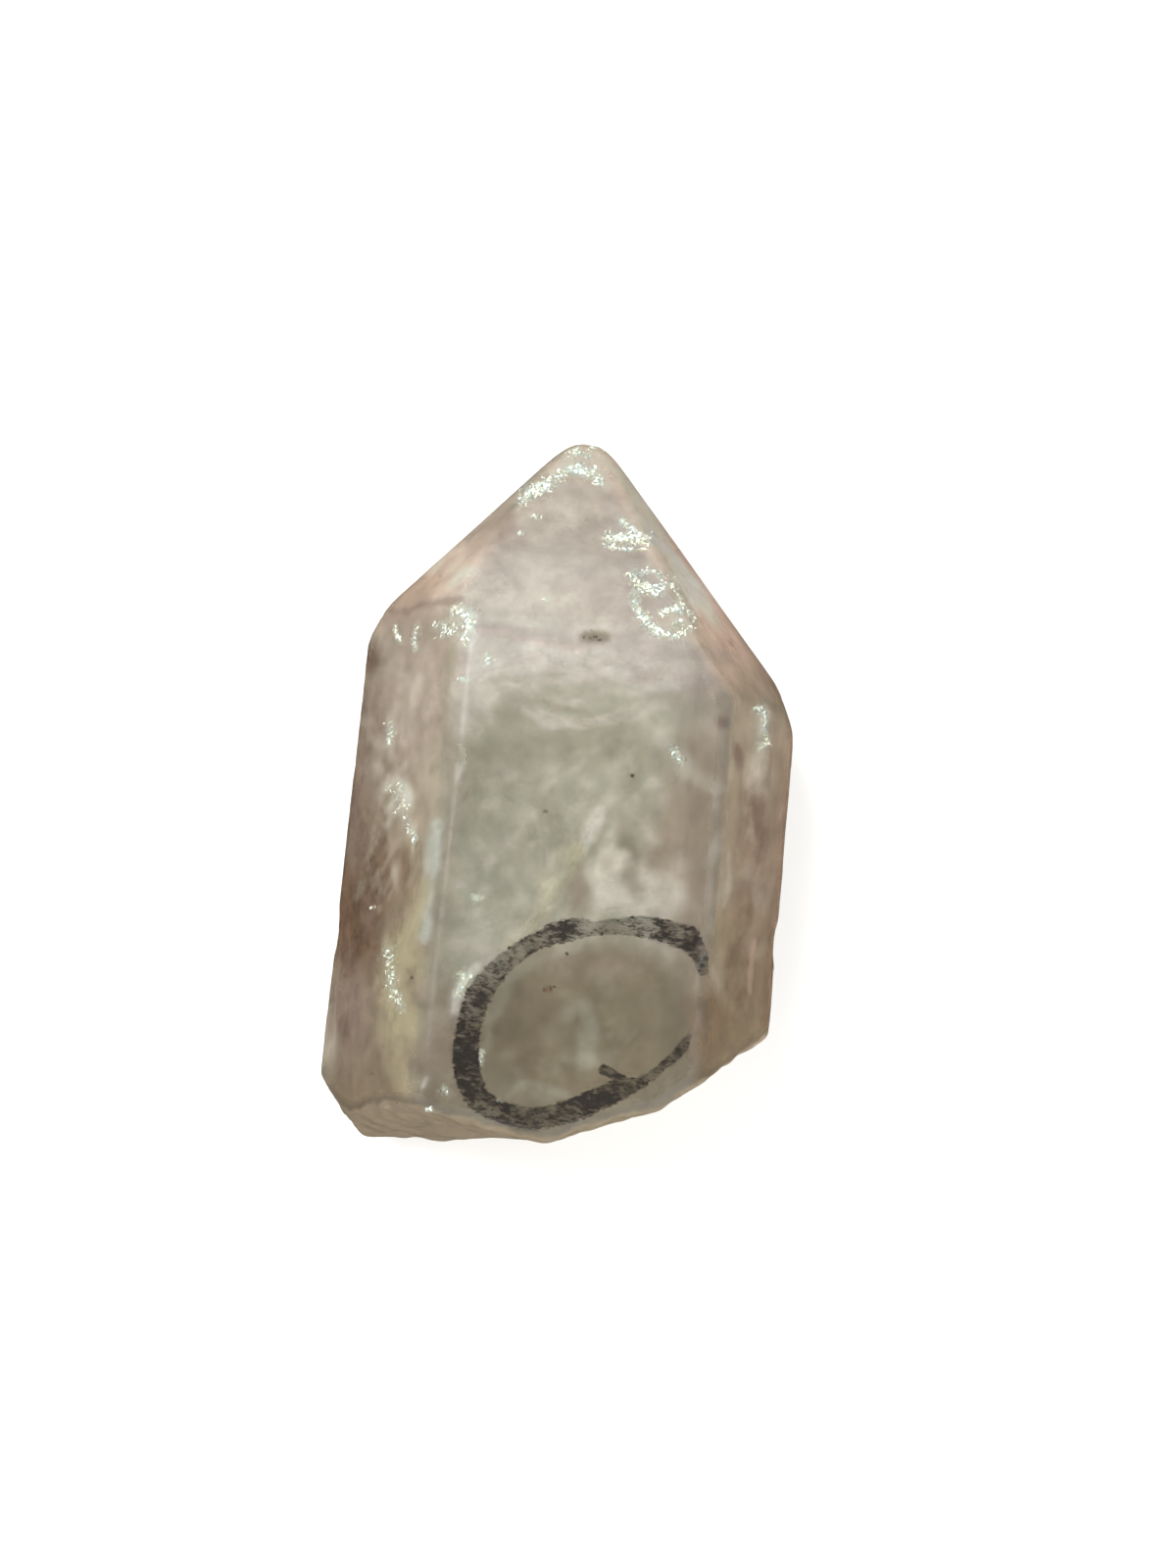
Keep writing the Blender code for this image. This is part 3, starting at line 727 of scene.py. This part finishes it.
def makeGlintGroup():
    # turns a crack's reach into a silvery haze with bright angular flakes and dark gaps in it: the flakes
    # are painted glints, the haze partly the cracks' own whiteness
    group, given, result = newGroup(
        "fracture_glint", {"Reach": 0.0, "Strength": 1.0, "Haze": 0.4}, {"Mask": "NodeSocketFloat"})
    reach = given.outputs["Reach"]
    flakes = mixed(group, angularCells(group, 2100.0), angularCells(group, 5200.0), 0.45)
    flakes = maths(group, "ADD", flakes, centred(group, placeNoise(group, (3600, 3600, 3600), 3), 0.8))
    bright = spread(group, maths(group, "ADD", reach, centred(group, flakes, 1.6)), 0.62, 0.84)
    wisps = centred(group, placeNoise(group, (1500, 1500, 1500), 3), 0.9)
    haze = spread(group, maths(group, "ADD", reach, wisps), 0.2, 0.8)
    soft = maths(group, "MULTIPLY", haze, given.outputs["Haze"])
    mask = maths(group, "MULTIPLY", maths(group, "MAXIMUM", bright, soft), given.outputs["Strength"])
    group.links.new(maths(group, "MINIMUM", mask, 1.0), result.inputs["Mask"])
    return group


cloudGroup = makeCloudGroup()
inkGroup = makeInkGroup()
glintGroup = makeGlintGroup()


def fromGroup(tree, group, inputs):
    made = tree.nodes.new("ShaderNodeGroup")
    made.node_tree = group
    return feed(tree, made, inputs).outputs[0]


def paintedParts(tree, name):
    attribute = put(tree, "ShaderNodeAttribute", attribute_name=name)
    parts = put(tree, "ShaderNodeSeparateColor", {"Color": attribute.outputs["Color"]})
    return parts.outputs["Red"], parts.outputs["Green"], parts.outputs["Blue"]


def newMaterial(name):
    material = bpy.data.materials.new(name)
    material.use_nodes = True
    return material, material.node_tree, material.node_tree.nodes["Principled BSDF"]


quartzFinish = {
    "clearness": 0.80,
    "shine": 0.15,              # a half is the full reflection of plain glass
    "roughness": 0.26,
    "frostRoughness": 0.6,
    "refraction": 1.544,
    "absorbColour": (0.62, 0.5, 0.32, 1),
    "absorbDensity": 16.0,      # per metre
    "inkColour": (0.011, 0.0095, 0.009, 1),
    "inkTorn": 0.45,            # raggedness of the ink's edge
    "inkThin": 0.52,            # how much lighter its thin places are
    "bruiseGlintHaze": 0.36,
    # painted sheen: colours that stand for light reflected off cracks near the surface
    "silverSheen": (0.76, 0.84, 0.77, 1),
    "warmSilverSheen": (0.80, 0.80, 0.64, 1),
    "cloudContrast": 0.5,
    "lineHeight": 0.02 * mm,    # of fine growth lines, and how strongly they show
    "lineStrength": 0.4,
}


def makeQuartzMaterial():
    material, tree, shader = newMaterial("clear_quartz")
    stone = put(tree, "ShaderNodeAttribute", attribute_name="stone").outputs["Color"]
    inkReach, inkStrength, frost = paintedParts(tree, "marks")
    bruiseGlintReach, bruiseGlintStrength, _ = paintedParts(tree, "bruiseGlint")

    shade = fromGroup(tree, cloudGroup, {"Contrast": quartzFinish["cloudContrast"]})
    colour = mixColour(tree, 1.0, stone, shade, "MULTIPLY")

    # painted glints and reflection: silver mixed into the colour over cracks near the surface, with the
    # cracks' own whitish haze
    bruiseGlint = fromGroup(tree, glintGroup, {
        "Reach": bruiseGlintReach, "Strength": bruiseGlintStrength, "Haze": quartzFinish["bruiseGlintHaze"]})
    hue = spread(tree, placeNoise(tree, (2400, 2400, 2400), 2), 0.48, 0.60)
    silverSheen = mixColour(tree, hue, quartzFinish["silverSheen"], quartzFinish["warmSilverSheen"])
    colour = mixColour(tree, bruiseGlint, colour, silverSheen)

    ink = fromGroup(tree, inkGroup, {
        "Reach": inkReach, "Strength": inkStrength,
        "Torn": quartzFinish["inkTorn"], "Thin": quartzFinish["inkThin"]})
    colour = mixColour(tree, ink, colour, quartzFinish["inkColour"])

    span = quartzFinish["frostRoughness"] - quartzFinish["roughness"]
    rough = maths(tree, "ADD", quartzFinish["roughness"], maths(tree, "MULTIPLY", frost, span))
    lines = placeNoise(tree, (160, 2600, 160), 3)
    bump = put(tree, "ShaderNodeBump", {
        "Strength": quartzFinish["lineStrength"], "Distance": quartzFinish["lineHeight"],
        "Height": lines})
    feed(tree, shader, {
        "Base Color": colour, "Roughness": rough, "Normal": bump.outputs["Normal"],
        "IOR": quartzFinish["refraction"], "Specular IOR Level": quartzFinish["shine"],
        "Transmission Weight": quartzFinish["clearness"]})
    absorption = put(tree, "ShaderNodeVolumeAbsorption", {
        "Color": quartzFinish["absorbColour"], "Density": quartzFinish["absorbDensity"]})
    tree.links.new(absorption.outputs["Volume"], tree.nodes["Material Output"].inputs["Volume"])
    return material


finishPiece(skin, makeQuartzMaterial())
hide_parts("quartz_crystal")


# Places inside the crystal, found from a pixel of the photograph and a depth

skinTree = BVHTree.FromPolygons(
    [tuple(place) for place in corners(skin.data)], [tuple(face.vertices) for face in skin.data.polygons])


def seenPlace(pixelX, pixelY):
    # the place on the skin that a pixel shows, and the skin's normal there
    aim = Vector((*fromPhoto(pixelX, pixelY), photoView["sharpHeight"])) - camera.location
    place, normal, _, _ = skinTree.ray_cast(camera.location, aim.normalized())
    return place, normal


def thicknessUnder(place):
    # how far down the crystal reaches below a place on its upper side
    far, _, _, _ = skinTree.ray_cast(place - Vector((0, 0, 0.1 * mm)), Vector((0, 0, -1)))
    return place.z - far.z if far else 0.0


# Veils: wavy sheets that plunge from the upper side into the crystal.
# Each has its route in pixels, its upper and lower edge's depth in millimetres, its drift in pixels
# on the way down, its colour, its cover and the height of its waves in millimetres.

veils = {
    "milkBandVeil": (
        [(470, 690), (530, 676), (590, 684), (650, 690), (724, 712)],
        (0.6, 5.5), (4, -34), "milk", 0.5, 0.5),
    "secondBandVeil": (
        [(536, 724), (566, 733), (600, 740), (636, 735), (670, 720)],
        (0.8, 4.0), (2, -20), "rose", 0.55, 0.4),
    "healedCrack": (
        [(614, 826), (594, 862), (572, 896), (550, 934), (520, 968)],
        (0.7, 8.0), (16, 8), "cream", 0.8, 0.35),
    "mistVeil": (
        [(500, 800), (540, 830), (560, 880), (520, 930), (480, 960)],
        (1.2, 5.0), (60, 14), "paleMilk", 0.45, 0.6),
    "fanVeil": (
        [(608, 932), (650, 928), (708, 912)],
        (0.9, 4.5), (10, -62), "paleMilk", 0.35, 0.5),
    "tipVeil": (
        [(500, 600), (540, 570), (590, 560), (640, 590), (690, 640)],
        (0.8, 5.0), (-6, -44), "milk", 0.45, 0.6),
    "leftVeil": (
        [(436, 850), (432, 900), (420, 950), (406, 1010), (412, 1080)],
        (0.5, 3.5), (-8, 0), "cream", 0.6, 0.4),
    "leftSmoke": (
        [(388, 780), (374, 860), (362, 930), (360, 1000), (352, 1070)],
        (0.7, 2.6), (44, 6), "umber", 0.75, 0.5),
    "leftRimSmoke": (
        [(384, 690), (372, 780), (358, 900), (346, 1010), (344, 1090)],
        (0.5, 2.0), (22, 4), "dusk", 0.6, 0.3),
    "rightSmoke": (
        [(786, 740), (782, 860), (776, 960), (764, 1050)],
        (0.6, 3.2), (-52, 0), "dusk", 0.5, 0.6),
    "tipRightSmoke": (
        [(634, 486), (682, 560), (736, 636), (780, 700)],
        (0.5, 1.8), (-30, 22), "rose", 0.5, 0.4),
    "rightVeil": (
        [(772, 726), (770, 770), (768, 810)],
        (0.5, 2.6), (-10, 0), "paleGreen", 0.5, 0.3),
}
veilMesh = {
    "cellsAlong": 60,
    "cellsDown": 26,
    "deepest": 0.8,             # share of the crystal's thickness that a veil may reach
    "waveSize": 2.2 * mm,
    "border": 0.22,             # share of a veil that fades out at each side
    "cloudContrast": 0.5,
    "roughness": 0.6,
}


def alongRoute(route, share):
    # a smooth curve through a route's points
    place = share * (len(route) - 1)
    step = min(int(place), len(route) - 2)
    rest = place - step
    points = [Vector(route[min(max(step + offset, 0), len(route) - 1)]) for offset in (-1, 0, 1, 2)]
    bend = (3 * (points[1] - points[2]) + points[3] - points[0]) * rest ** 3
    lean = (2 * points[0] - 5 * points[1] + 4 * points[2] - points[3]) * rest ** 2
    return (2 * points[1] + (points[2] - points[0]) * rest + lean + bend) / 2


def addVeil(sheet, veil, seed, colours, covers):
    route, depths, drift, name, cover, waves = veil
    cellsAlong, cellsDown = veilMesh["cellsAlong"], veilMesh["cellsDown"]
    low, high = depths[0] * mm, depths[1] * mm
    rows = []
    for stepAlong in range(cellsAlong + 1):
        along = stepAlong / cellsAlong
        pixel = alongRoute(route, along)
        row = []
        for stepDown in range(cellsDown + 1):
            down = stepDown / cellsDown
            place, _ = seenPlace(pixel.x + drift[0] * down, pixel.y + drift[1] * down)
            depth = min(low + (high - low) * down, veilMesh["deepest"] * thicknessUnder(place))
            spot = place - Vector((0, 0, depth))
            wave = noise.noise_vector(spot / veilMesh["waveSize"] + Vector((seed, 0, 0))) * (waves * mm)
            row.append(sheet.verts.new(spot + Vector((wave.x, wave.y, wave.z * 0.4))))
            border = min(along, 1 - along, 0.6 * down + 0.12, 1 - down)
            covers.append([cover * min(border / veilMesh["border"], 1)] * 3)
            colours.append(stoneColours[name])
        rows.append(row)
    for before, after in zip(rows[:-1], rows[1:]):
        for step in range(cellsDown):
            sheet.faces.new((before[step], before[step + 1], after[step + 1], after[step]))


def makeVeils():
    sheet = bmesh.new()
    colours, covers = [], []
    for number, veil in enumerate(veils.values()):
        addVeil(sheet, veil, 3.7 * number, colours, covers)
    mesh = bpy.data.meshes.new("milky_veils")
    sheet.to_mesh(mesh)
    sheet.free()
    paintColour(mesh, "veil", colours)
    paintColour(mesh, "cover", covers)
    return addObject("milky_veils", mesh)


def makeVeilMaterial():
    material, tree, shader = newMaterial("milky_veil")
    colour = put(tree, "ShaderNodeAttribute", attribute_name="veil").outputs["Color"]
    shade = fromGroup(tree, cloudGroup, {"Contrast": veilMesh["cloudContrast"]})
    cover, _, _ = paintedParts(tree, "cover")
    wisps = placeNoise(tree, (520, 420, 520), 5, 0.68)
    feed(tree, shader, {
        "Base Color": mixColour(tree, 1.0, colour, shade, "MULTIPLY"),
        "Alpha": maths(tree, "MULTIPLY", cover, spread(tree, wisps, 0.40, 0.66)),
        "Roughness": veilMesh["roughness"]})
    return material


milkyVeils = makeVeils()
finishPiece(milkyVeils, makeVeilMaterial())
print("veils:", len(milkyVeils.data.polygons), "faces")


# Small things scattered inside: fracture flakes and specks.
# One tree places a faceted grain on every point, with the size, stretch and turn that the point carries.

def makeScatterTree():
    tree = bpy.data.node_groups.new("scatter_grains", "GeometryNodeTree")
    faces = tree.interface
    faces.new_socket("Points", in_out="INPUT", socket_type="NodeSocketGeometry")
    for label, kind, value in (("Detail", "NodeSocketInt", 1),
                               ("Lumps", "NodeSocketFloat", 0.3), ("Seed", "NodeSocketInt", 1)):
        socket = faces.new_socket(label, in_out="INPUT", socket_type=kind)
        socket.default_value = value
    faces.new_socket("Finish", in_out="INPUT", socket_type="NodeSocketMaterial")
    faces.new_socket("Grains", in_out="OUTPUT", socket_type="NodeSocketGeometry")
    given = tree.nodes.new("NodeGroupInput").outputs
    result = tree.nodes.new("NodeGroupOutput").inputs

    def carried(label):
        inputs = {"Name": label}
        made = put(tree, "GeometryNodeInputNamedAttribute", inputs, data_type="FLOAT_VECTOR")
        return made.outputs["Attribute"]

    ball = put(tree, "GeometryNodeMeshIcoSphere", {"Radius": 1.0, "Subdivisions": given["Detail"]})
    place = put(tree, "GeometryNodeInputPosition").outputs[0]
    inputs = {"Vector": place, "Scale": 1.1, "Detail": 1.0, "W": given["Seed"]}
    lumps = put(tree, "ShaderNodeTexNoise", inputs, noise_dimensions="4D").outputs["Fac"]
    grow = maths(tree, "ADD", centred(tree, lumps, given["Lumps"]), 1.0)
    scaled = put(tree, "ShaderNodeVectorMath", {0: place, "Scale": grow}, operation="SCALE").outputs[0]
    grain = put(tree, "GeometryNodeSetPosition", {"Geometry": ball.outputs["Mesh"], "Position": scaled})

    placed = put(tree, "GeometryNodeInstanceOnPoints", {
        "Points": given["Points"], "Instance": grain.outputs["Geometry"],
        "Rotation": carried("turn"), "Scale": carried("size")})
    real = put(tree, "GeometryNodeRealizeInstances", {"Geometry": placed.outputs["Instances"]})
    done = put(tree, "GeometryNodeSetMaterial", {"Geometry": real.outputs[0], "Material": given["Finish"]})
    tree.links.new(done.outputs["Geometry"], result["Grains"])
    return tree


scatterTree = makeScatterTree()


def scatter(name, places, sizes, turns, material, values):
    mesh = bpy.data.meshes.new(name)
    mesh.from_pydata([tuple(place) for place in places], [], [])
    for label, rows in (("size", sizes), ("turn", turns)):
        layer = mesh.attributes.new(label, "FLOAT_VECTOR", "POINT")
        layer.data.foreach_set("vector", np.array(rows, float).ravel())
    piece = addObject(name, mesh)
    modifier = piece.modifiers.new("scatter", "NODES")
    modifier.node_group = scatterTree
    values = values | {"Finish": material}
    for socket in scatterTree.interface.items_tree:
        if socket.name in values:
            modifier[socket.identifier] = values[socket.name]
    evaluated = piece.evaluated_get(bpy.context.evaluated_depsgraph_get())
    made = bpy.data.meshes.new_from_object(evaluated)
    piece.modifiers.clear()
    piece.data = made
    return piece


flakeLook = {
    "perPixel": 0.30,           # flakes for each square pixel of a bruise
    "size": (0.05 * mm, 0.20 * mm),
    "thickness": 0.09,          # of the flake's width
    "depth": (0.02 * mm, 0.12 * mm),
    "tilt": 0.55,               # radians either way from lying along the skin
    "seed": 5,
    "lumps": {"Detail": 1, "Lumps": 1.0, "Seed": 3},
    "cloudContrast": 0.3,
    "roughness": 0.4,
}


def flakePoints():
    dice = random.Random(flakeLook["seed"])
    places, sizes, turns = [], [], []
    for route in bruisesAndGlints.values():
        for start, end in zip(route[:-1], route[1:]):
            length = math.hypot(end[0] - start[0], end[1] - start[1])
            halfWidth = (start[2] + end[2]) / 2
            strength = (start[3] + end[3]) / 2
            count = round(flakeLook["perPixel"] * strength * 2 * halfWidth * (length + halfWidth))
            for _ in range(count):
                share = dice.random()
                pixelX = start[0] + (end[0] - start[0]) * share + dice.gauss(0, halfWidth * 0.45)
                pixelY = start[1] + (end[1] - start[1]) * share + dice.gauss(0, halfWidth * 0.45)
                place, normal = seenPlace(pixelX, pixelY)
                if place is None:
                    continue
                width = dice.uniform(*flakeLook["size"])
                turn = normal.to_track_quat("Z", "Y").to_euler()
                tilt = flakeLook["tilt"]
                places.append(place - normal * dice.uniform(*flakeLook["depth"]))
                sizes.append((width, width * dice.uniform(0.5, 1.0), width * flakeLook["thickness"]))
                turns.append((turn.x + dice.uniform(-tilt, tilt), turn.y + dice.uniform(-tilt, tilt),
                              turn.z + dice.uniform(0, math.tau)))
    return places, sizes, turns


# painted reflection: the flakes' silvery white colour stands for the light that the cracks' faces reflect
def makeFlakeMaterial():
    material, tree, shader = newMaterial("silvery_fracture")
    hue = spread(tree, placeNoise(tree, (1300, 1300, 1300), 2), 0.45, 0.62)
    colour = mixColour(tree, hue, quartzFinish["silverSheen"], quartzFinish["warmSilverSheen"])
    shade = fromGroup(tree, cloudGroup, {"Contrast": flakeLook["cloudContrast"]})
    feed(tree, shader, {
        "Base Color": mixColour(tree, 1.0, colour, shade, "MULTIPLY"), "Roughness": flakeLook["roughness"]})
    return material


flakeMaterial = makeFlakeMaterial()
flakes = scatter("fracture_flakes", *flakePoints(), flakeMaterial, flakeLook["lumps"])
finishPiece(flakes, flakeMaterial)
print("flakes:", len(flakes.data.polygons), "faces")


# Dark grains of another mineral just under the faces: pixel, half width of the group in pixels, number

speckGroups = {
    "onTipEdge": (607, 650, 5.0, 9),
    "frontHigh": (645, 791, 1.0, 5),
    "frontMiddle": (557, 828, 1.0, 5),
    "underBand": (635, 738, 0.6, 1),
    "onLeftFacet": (449, 589, 1.2, 2),
    "inRingHigh": (578, 974, 2.0, 3),
    "inRing": (559, 1010, 3.6, 6),
    "lowOnLeft": (390, 1067, 1.5, 2),
    "besideRing": (419, 997, 1.5, 2),
    "leftCorner": (379, 1096, 1.2, 2),
    "leftFoot": (404, 1125, 1.8, 3),
}
speckLook = {
    "size": (0.06 * mm, 0.12 * mm),
    "depth": (0.04 * mm, 0.09 * mm),
    "colour": (0.055, 0.036, 0.024, 1),
    "rustColour": (0.16, 0.085, 0.05, 1),
    "seed": 9,
    "lumps": {"Detail": 1, "Lumps": 0.9, "Seed": 8},
    "roughness": 0.8,
}


def speckPoints():
    dice = random.Random(speckLook["seed"])
    places, sizes, turns = [], [], []
    for pixelX, pixelY, halfWidth, count in speckGroups.values():
        for _ in range(count):
            across, down = dice.gauss(0, halfWidth), dice.gauss(0, halfWidth * 0.6)
            place, normal = seenPlace(pixelX + across, pixelY + down)
            width = dice.uniform(*speckLook["size"])
            places.append(place - normal * dice.uniform(*speckLook["depth"]))
            sizes.append((width, width * dice.uniform(0.6, 1.0), width * dice.uniform(0.5, 0.9)))
            turns.append([dice.uniform(0, math.tau) for _ in range(3)])
    return places, sizes, turns


def makeSpeckMaterial():
    material, tree, shader = newMaterial("mineral_speck")
    rust = spread(tree, placeNoise(tree, (2600, 2600, 2600), 2), 0.45, 0.65)
    feed(tree, shader, {
        "Base Color": mixColour(tree, rust, speckLook["colour"], speckLook["rustColour"]),
        "Roughness": speckLook["roughness"], "Specular IOR Level": 0.0})
    return material


speckMaterial = makeSpeckMaterial()
specks = scatter("mineral_specks", *speckPoints(), speckMaterial, speckLook["lumps"])
finishPiece(specks, speckMaterial)
print("specks:", len(specks.data.polygons), "faces")


# Floor and light

studio = {
    "floorSize": 1.2,
    "floorColour": (0.86, 0.86, 0.85, 1),
    "skyColour": (1.0, 1.0, 1.0, 1),
    "skyStrength": 0.74,
    "softboxSize": 0.4,
    "softboxes": {"key_softbox": ((-0.30, 0.28, 0.60), 6.6), "fill_softbox": ((0.26, -0.32, 0.52), 3.3)},
}


def makeFloor():
    mesh = bpy.data.meshes.new("floor")
    sheet = bmesh.new()
    bmesh.ops.create_grid(sheet, x_segments=1, y_segments=1, size=studio["floorSize"] / 2)
    sheet.to_mesh(mesh)
    sheet.free()
    floor = addObject("floor", mesh)
    material, tree, shader = newMaterial("pale_floor")
    feed(tree, shader, {"Base Color": studio["floorColour"], "Roughness": 0.8})
    mesh.materials.append(material)
    floor.visible_glossy = False    # its reflection would grey the steep faces


def makeLight(name, place, power):
    data = bpy.data.lights.new(name, "AREA")
    data.size = studio["softboxSize"]
    data.energy = power
    light = bpy.data.objects.new(name, data)
    stage.objects.link(light)
    light.location = place
    light.rotation_euler = (-Vector(place)).to_track_quat("-Z", "Y").to_euler()


def makeSky():
    sky = bpy.data.worlds.new("soft_sky")
    sky.use_nodes = True
    background = sky.node_tree.nodes["Background"]
    background.inputs["Color"].default_value = studio["skyColour"]
    background.inputs["Strength"].default_value = studio["skyStrength"]
    sky.cycles_visibility.glossy = False    # only the softboxes shine on the faces
    bpy.context.scene.world = sky


makeFloor()
makeSky()
for name, (place, power) in studio["softboxes"].items():
    makeLight(name, place, power)
bpy.context.scene.view_settings.view_transform = "Standard"
